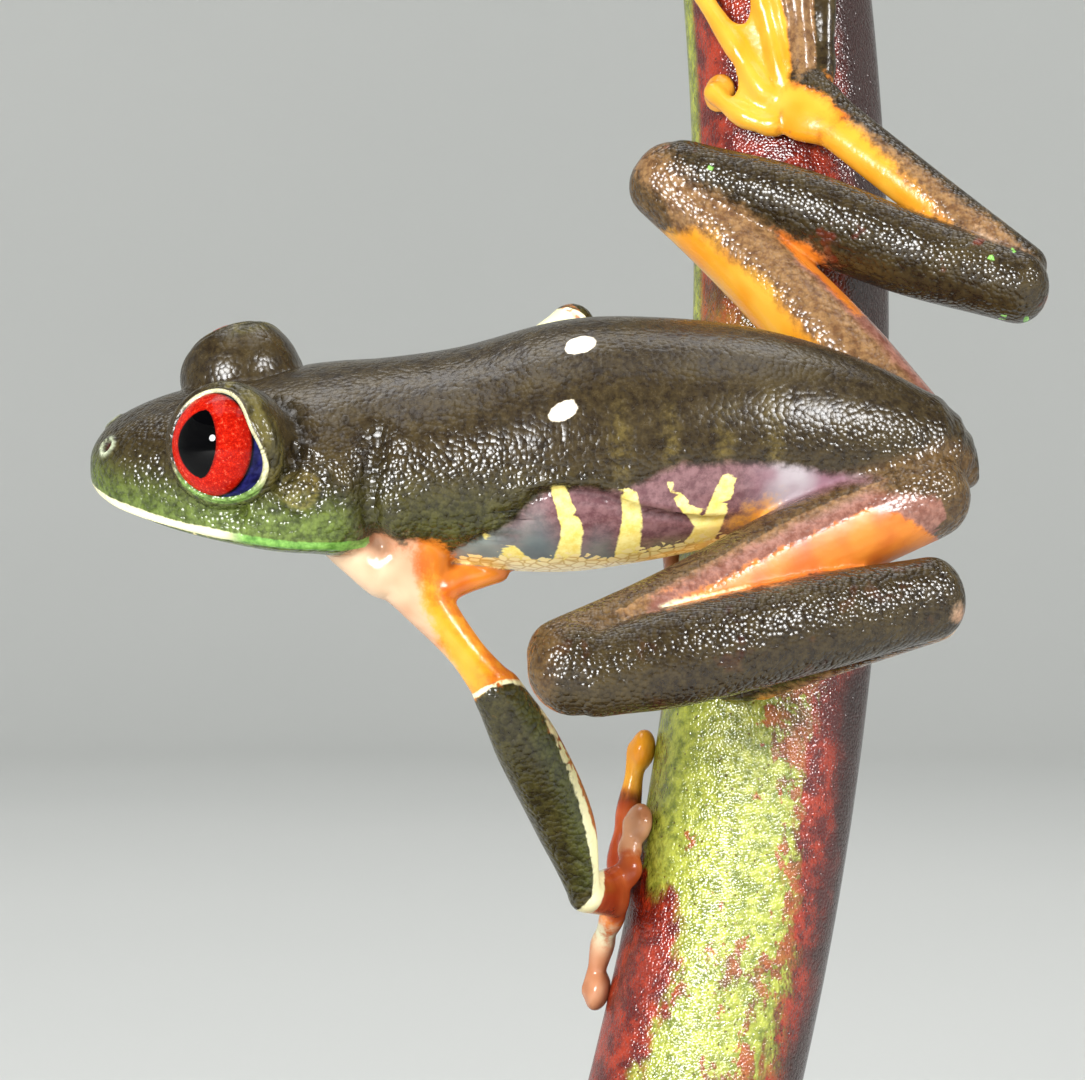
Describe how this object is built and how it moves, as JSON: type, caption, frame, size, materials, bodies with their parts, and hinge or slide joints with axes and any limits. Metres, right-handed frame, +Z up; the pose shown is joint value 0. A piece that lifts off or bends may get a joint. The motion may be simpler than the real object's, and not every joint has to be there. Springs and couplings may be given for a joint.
{
  "type": "red-eyed tree frog",
  "caption": "Life-size red-eyed tree frog gripping an upright cut length of thick plant stem with webbed hands and feet, held over a round flat display base by a short rod.",
  "frame": {"origin": "centre of the flat underside of the display base", "axes": "+Z up, away from the base; the frog's snout points towards -X and its left side faces -Y"},
  "size_m": [0.0755, 0.072, 0.118],
  "materials": {
    "skin_back": "moist granular skin, dark olive brown",
    "skin_throat": "moist cream skin",
    "skin_thigh": "moist smooth orange skin",
    "skin_limb": "moist granular skin, dark brown",
    "skin_palm": "moist smooth orange skin",
    "skin_digit": "moist smooth skin, orange to pink",
    "eye": "wet glossy eyeball with a red iris and an upright pupil",
    "ear_drum": "thin tight skin",
    "stem_skin": "glossy green plant stem with red-brown blotches",
    "turned_wood": "dark satin-varnished turned wood",
    "rod_brass": "polished brass rod"
  },
  "bodies": {
    "root": {"head": "skin_back", "lower_jaw": "skin_throat", "trunk": "skin_back", "eye_left": "eye", "eye_right": "eye", "ear_left": "ear_drum", "ear_right": "ear_drum", "thigh_left": "skin_thigh", "shank_left": "skin_limb", "tarsus_left": "skin_limb", "foot_left": "skin_palm", "toe_left_1": "skin_digit", "toe_left_2": "skin_digit", "toe_left_3": "skin_digit", "toe_left_4": "skin_digit", "toe_left_5": "skin_digit", "thigh_right": "skin_thigh", "shank_right": "skin_limb", "tarsus_right": "skin_limb", "foot_right": "skin_palm", "toe_right_1": "skin_digit", "toe_right_2": "skin_digit", "toe_right_3": "skin_digit", "toe_right_4": "skin_digit", "toe_right_5": "skin_digit", "upper_arm_left": "skin_thigh", "forearm_left": "skin_limb", "hand_left": "skin_palm", "finger_left_1": "skin_digit", "finger_left_2": "skin_digit", "finger_left_3": "skin_digit", "finger_left_4": "skin_digit", "upper_arm_right": "skin_thigh", "forearm_right": "skin_limb", "hand_right": "skin_palm", "finger_right_1": "skin_digit", "finger_right_2": "skin_digit", "finger_right_3": "skin_digit", "finger_right_4": "skin_digit", "perch_stem": "stem_skin", "stand_rod": "rod_brass", "stand_base": "turned_wood"}
  },
  "joints": []
}
